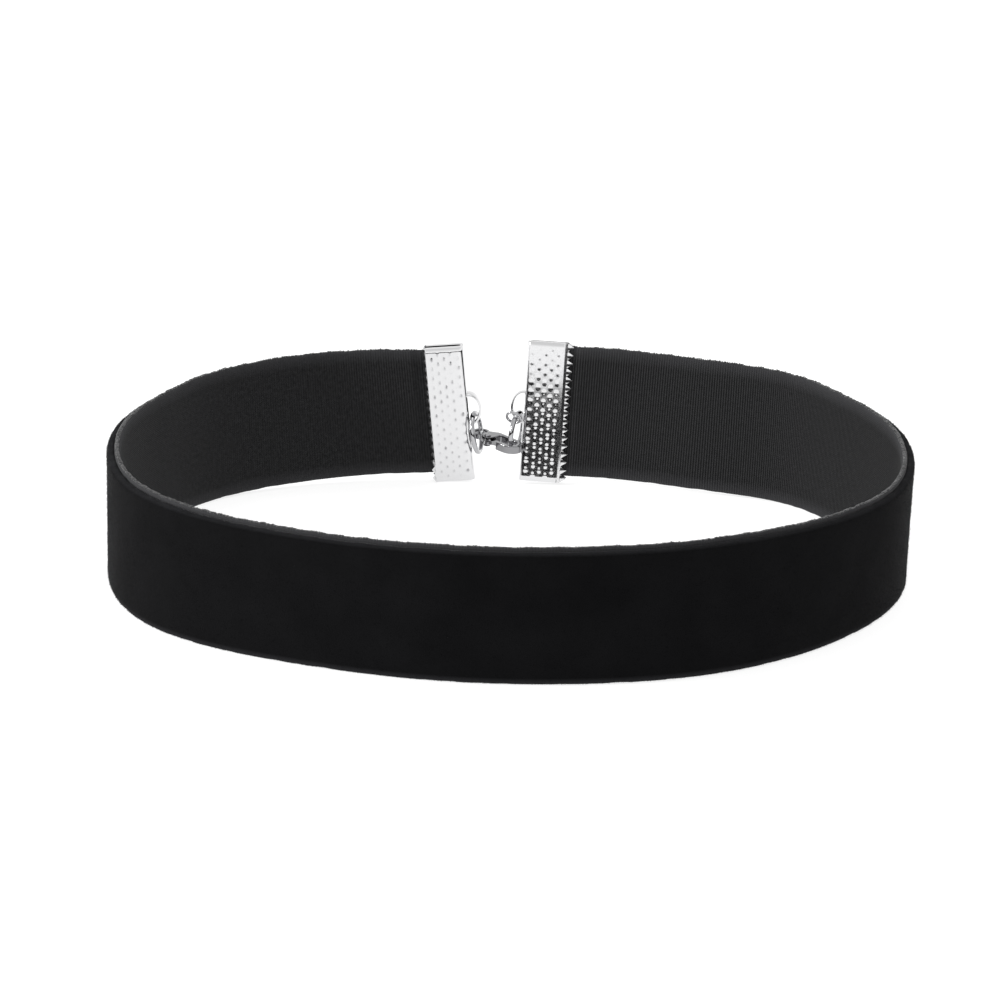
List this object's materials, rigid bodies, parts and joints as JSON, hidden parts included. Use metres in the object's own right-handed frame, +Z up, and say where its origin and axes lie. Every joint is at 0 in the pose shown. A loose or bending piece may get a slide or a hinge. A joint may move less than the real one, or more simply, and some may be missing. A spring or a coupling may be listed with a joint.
{
  "type": "choker necklace",
  "caption": "Velvet ribbon choker standing on its edge, with dotted crimp ends, jump rings and a lobster clasp with a sprung lever.",
  "frame": {"origin": "middle of the whole choker's box, on the table it stands on", "axes": "+Z up across the ribbon's width, -Y to the front of the neck, +Y to the clasp, +X to the right seen from the front"},
  "size_m": [0.0882, 0.0869, 0.0166],
  "materials": {
    "velvet_ribbon": "black cut pile outside, dark grey woven back",
    "plated_crimp": "bright silver-coloured plate on embossed steel sheet",
    "plated_wire": "bright silver-coloured plate on steel wire",
    "plated_casting": "bright silver-coloured plate on a small casting"
  },
  "bodies": {
    "choker": {"ribbon": "velvet_ribbon", "left_crimp": "plated_crimp", "right_crimp": "plated_crimp", "left_jump_ring": "plated_wire", "right_jump_ring": "plated_wire", "small_link": "plated_wire", "clasp_body": "plated_casting", "clasp_pin": "plated_casting"},
    "lever": {"clasp_lever": "plated_casting"}
  },
  "joints": [
    {"name": "lever_pivot", "type": "hinge", "parent": "choker", "child": "lever", "pos_m": [-0.00241, 0.04049, 0.00497], "axis": [0.0723, -0.1068, 0.9917], "range_deg": [0, 15], "stiffness_Nm_per_rad": 0.0002, "springref_deg": -17.19}
  ]
}
